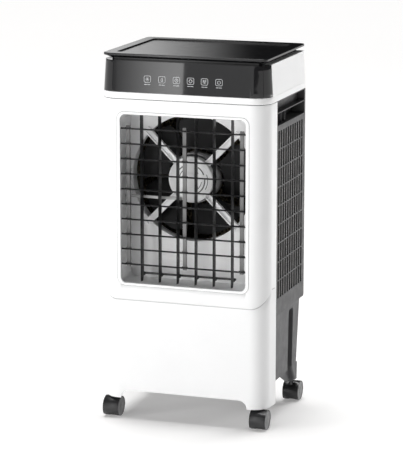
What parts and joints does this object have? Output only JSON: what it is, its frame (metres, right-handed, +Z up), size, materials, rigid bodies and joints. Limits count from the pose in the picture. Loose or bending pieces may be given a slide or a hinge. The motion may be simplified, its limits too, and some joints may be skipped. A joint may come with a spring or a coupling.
{
  "type": "evaporative cooler",
  "caption": "Portable evaporative air cooler: tall cabinet on casters, louvred fan outlet in front, intake grilles, water tank, touch panel and hinged tray lid.",
  "frame": {"origin": "on the floor, under the middle of the cabinet", "axes": "+Z up, +Y from the louvred front to the back, +X to the right seen from the front"},
  "size_m": [0.36, 0.28, 0.765],
  "materials": {
    "white_shell": "smooth satin moulded",
    "panel_gloss_black": "high gloss",
    "lid_black": "satin gloss",
    "side_grey": "fine moulded texture",
    "tank_grey": "fine moulded texture",
    "louvre_dark": "satin",
    "tie_grey": "satin",
    "fan_black": "satin gloss",
    "motor_metal": "painted",
    "steel": "zinc plated",
    "board_green": "solder mask",
    "filter_mesh": "woven nylon mesh",
    "pad_fibre": "fluted cellulose paper",
    "pump_black": "moulded",
    "hose_clear": "soft vinyl",
    "hood_black": "high gloss",
    "wheel_grey": "satin"
  },
  "bodies": {
    "cabinet": {"front_shell": "white_shell", "outlet_frame": "white_shell", "fan_shroud": "white_shell", "motor_bracket": "white_shell", "motor_cover": "white_shell", "top_shell": "white_shell", "control_panel": "panel_gloss_black", "side_panel_left": "side_grey", "side_panel_right": "side_grey", "rear_cover": "side_grey", "water_tank": "tank_grey", "pad_deck": "tank_grey", "filling_tray": "tank_grey", "water_distributor": "tank_grey", "swing_crank": "tie_grey", "fan_motor": "motor_metal", "swing_motor": "motor_metal", "lid_hinge_pins": "steel", "screws": "steel", "caster_stems": "steel", "control_board": "board_green", "rear_filter": "filter_mesh", "cooling_pad_left": "pad_fibre", "cooling_pad_right": "pad_fibre", "cooling_pad_rear": "pad_fibre", "pump": "pump_black", "drain_plug": "pump_black", "power_inlet": "pump_black", "pump_hose": "hose_clear"},
    "lid": {"lid": "lid_black"},
    "fan": {"fan_impeller": "fan_black", "motor_shaft": "steel"},
    "louvre_1": {"louvre_1": "louvre_dark"},
    "louvre_2": {"louvre_2": "louvre_dark"},
    "louvre_3": {"louvre_3": "louvre_dark"},
    "louvre_4": {"louvre_4": "louvre_dark"},
    "louvre_5": {"louvre_5": "louvre_dark"},
    "louvre_6": {"louvre_6": "louvre_dark"},
    "louvre_7": {"louvre_7": "louvre_dark"},
    "louvre_8": {"louvre_8": "louvre_dark"},
    "louvre_9": {"louvre_9": "louvre_dark"},
    "louvre_10": {"louvre_10": "louvre_dark"},
    "louvre_tie_bars": {"louvre_tie_bars": "tie_grey"},
    "vane_1": {"vane_1": "louvre_dark"},
    "vane_2": {"vane_2": "louvre_dark"},
    "vane_3": {"vane_3": "louvre_dark"},
    "vane_4": {"vane_4": "louvre_dark"},
    "vane_5": {"vane_5": "louvre_dark"},
    "vane_6": {"vane_6": "louvre_dark"},
    "vane_linkage": {"vane_tie_bar": "louvre_dark", "swing_link": "tie_grey"},
    "caster_swivel_front_left": {"caster_hood_front_left": "hood_black"},
    "caster_wheels_front_left": {"caster_wheels_front_left": "wheel_grey"},
    "caster_swivel_rear_left": {"caster_hood_rear_left": "hood_black"},
    "caster_wheels_rear_left": {"caster_wheels_rear_left": "wheel_grey"},
    "caster_swivel_front_right": {"caster_hood_front_right": "hood_black"},
    "caster_wheels_front_right": {"caster_wheels_front_right": "wheel_grey"},
    "caster_swivel_rear_right": {"caster_hood_rear_right": "hood_black"},
    "caster_wheels_rear_right": {"caster_wheels_rear_right": "wheel_grey"}
  },
  "joints": [
    {"name": "lid_hinge", "type": "hinge", "parent": "cabinet", "child": "lid", "pos_m": [0, 0.1362, 0.7524], "axis": [-1, 0, 0], "range_deg": [0, 80]},
    {"name": "fan_spin", "type": "hinge", "parent": "cabinet", "child": "fan", "pos_m": [0, -0.05, 0.5055], "axis": [0, 1, 0], "continuous": true},
    {"name": "louvre_tilt", "type": "hinge", "parent": "cabinet", "child": "louvre_1", "pos_m": [0, -0.131, 0.33], "axis": [1, 0, 0], "range_deg": [-28, 28]},
    {"name": "louvre_2_tilt", "type": "hinge", "parent": "cabinet", "child": "louvre_2", "pos_m": [0, -0.131, 0.3613], "axis": [1, 0, 0], "range_deg": [-28, 28]},
    {"name": "louvre_3_tilt", "type": "hinge", "parent": "cabinet", "child": "louvre_3", "pos_m": [0, -0.131, 0.3926], "axis": [1, 0, 0], "range_deg": [-28, 28]},
    {"name": "louvre_4_tilt", "type": "hinge", "parent": "cabinet", "child": "louvre_4", "pos_m": [0, -0.131, 0.4239], "axis": [1, 0, 0], "range_deg": [-28, 28]},
    {"name": "louvre_5_tilt", "type": "hinge", "parent": "cabinet", "child": "louvre_5", "pos_m": [0, -0.131, 0.4552], "axis": [1, 0, 0], "range_deg": [-28, 28]},
    {"name": "louvre_6_tilt", "type": "hinge", "parent": "cabinet", "child": "louvre_6", "pos_m": [0, -0.131, 0.4865], "axis": [1, 0, 0], "range_deg": [-28, 28]},
    {"name": "louvre_7_tilt", "type": "hinge", "parent": "cabinet", "child": "louvre_7", "pos_m": [0, -0.131, 0.5178], "axis": [1, 0, 0], "range_deg": [-28, 28]},
    {"name": "louvre_8_tilt", "type": "hinge", "parent": "cabinet", "child": "louvre_8", "pos_m": [0, -0.131, 0.5491], "axis": [1, 0, 0], "range_deg": [-28, 28]},
    {"name": "louvre_9_tilt", "type": "hinge", "parent": "cabinet", "child": "louvre_9", "pos_m": [0, -0.131, 0.5804], "axis": [1, 0, 0], "range_deg": [-28, 28]},
    {"name": "louvre_10_tilt", "type": "hinge", "parent": "cabinet", "child": "louvre_10", "pos_m": [0, -0.131, 0.6117], "axis": [1, 0, 0], "range_deg": [-28, 28]},
    {"name": "louvre_tie_pivot", "type": "hinge", "parent": "louvre_1", "child": "louvre_tie_bars", "pos_m": [0, -0.1245, 0.33], "axis": [1, 0, 0], "range_deg": [-28, 28]},
    {"name": "vane_1_swing", "type": "hinge", "parent": "cabinet", "child": "vane_1", "pos_m": [-0.0975, -0.112, 0.467], "axis": [0, 0, 1], "range_deg": [-32, 32]},
    {"name": "vane_2_swing", "type": "hinge", "parent": "cabinet", "child": "vane_2", "pos_m": [-0.0585, -0.112, 0.467], "axis": [0, 0, 1], "range_deg": [-32, 32]},
    {"name": "vane_swing", "type": "hinge", "parent": "cabinet", "child": "vane_3", "pos_m": [-0.0195, -0.112, 0.467], "axis": [0, 0, 1], "range_deg": [-32, 32]},
    {"name": "vane_4_swing", "type": "hinge", "parent": "cabinet", "child": "vane_4", "pos_m": [0.0195, -0.112, 0.467], "axis": [0, 0, 1], "range_deg": [-32, 32]},
    {"name": "vane_5_swing", "type": "hinge", "parent": "cabinet", "child": "vane_5", "pos_m": [0.0585, -0.112, 0.467], "axis": [0, 0, 1], "range_deg": [-32, 32]},
    {"name": "vane_6_swing", "type": "hinge", "parent": "cabinet", "child": "vane_6", "pos_m": [0.0975, -0.112, 0.467], "axis": [0, 0, 1], "range_deg": [-32, 32]},
    {"name": "vane_link_pivot", "type": "hinge", "parent": "vane_3", "child": "vane_linkage", "pos_m": [-0.0195, -0.099, 0.306], "axis": [0, 0, 1], "range_deg": [-32, 32]},
    {"name": "caster_front_left_swivel", "type": "hinge", "parent": "cabinet", "child": "caster_swivel_front_left", "pos_m": [-0.16, -0.106, 0.035], "axis": [0, 0, 1], "continuous": true},
    {"name": "caster_front_left_roll", "type": "hinge", "parent": "caster_swivel_front_left", "child": "caster_wheels_front_left", "pos_m": [-0.16, -0.118, 0.02], "axis": [1, 0, 0], "continuous": true},
    {"name": "caster_rear_left_swivel", "type": "hinge", "parent": "cabinet", "child": "caster_swivel_rear_left", "pos_m": [-0.16, 0.105, 0.035], "axis": [0, 0, 1], "continuous": true},
    {"name": "caster_rear_left_roll", "type": "hinge", "parent": "caster_swivel_rear_left", "child": "caster_wheels_rear_left", "pos_m": [-0.16, 0.117, 0.02], "axis": [1, 0, 0], "continuous": true},
    {"name": "caster_front_right_swivel", "type": "hinge", "parent": "cabinet", "child": "caster_swivel_front_right", "pos_m": [0.16, -0.106, 0.035], "axis": [0, 0, 1], "continuous": true},
    {"name": "caster_front_right_roll", "type": "hinge", "parent": "caster_swivel_front_right", "child": "caster_wheels_front_right", "pos_m": [0.16, -0.118, 0.02], "axis": [1, 0, 0], "continuous": true},
    {"name": "caster_rear_right_swivel", "type": "hinge", "parent": "cabinet", "child": "caster_swivel_rear_right", "pos_m": [0.16, 0.105, 0.035], "axis": [0, 0, 1], "continuous": true},
    {"name": "caster_rear_right_roll", "type": "hinge", "parent": "caster_swivel_rear_right", "child": "caster_wheels_rear_right", "pos_m": [0.16, 0.117, 0.02], "axis": [1, 0, 0], "continuous": true}
  ],
  "couplings": [
    {"joint": "louvre_2_tilt", "follows": "louvre_tilt", "ratio": 1},
    {"joint": "louvre_3_tilt", "follows": "louvre_tilt", "ratio": 1},
    {"joint": "louvre_4_tilt", "follows": "louvre_tilt", "ratio": 1},
    {"joint": "louvre_5_tilt", "follows": "louvre_tilt", "ratio": 1},
    {"joint": "louvre_6_tilt", "follows": "louvre_tilt", "ratio": 1},
    {"joint": "louvre_7_tilt", "follows": "louvre_tilt", "ratio": 1},
    {"joint": "louvre_8_tilt", "follows": "louvre_tilt", "ratio": 1},
    {"joint": "louvre_9_tilt", "follows": "louvre_tilt", "ratio": 1},
    {"joint": "louvre_10_tilt", "follows": "louvre_tilt", "ratio": 1},
    {"joint": "louvre_tie_pivot", "follows": "louvre_tilt", "ratio": -1},
    {"joint": "vane_1_swing", "follows": "vane_swing", "ratio": 1},
    {"joint": "vane_2_swing", "follows": "vane_swing", "ratio": 1},
    {"joint": "vane_4_swing", "follows": "vane_swing", "ratio": 1},
    {"joint": "vane_5_swing", "follows": "vane_swing", "ratio": 1},
    {"joint": "vane_6_swing", "follows": "vane_swing", "ratio": 1},
    {"joint": "vane_link_pivot", "follows": "vane_swing", "ratio": -1}
  ]
}
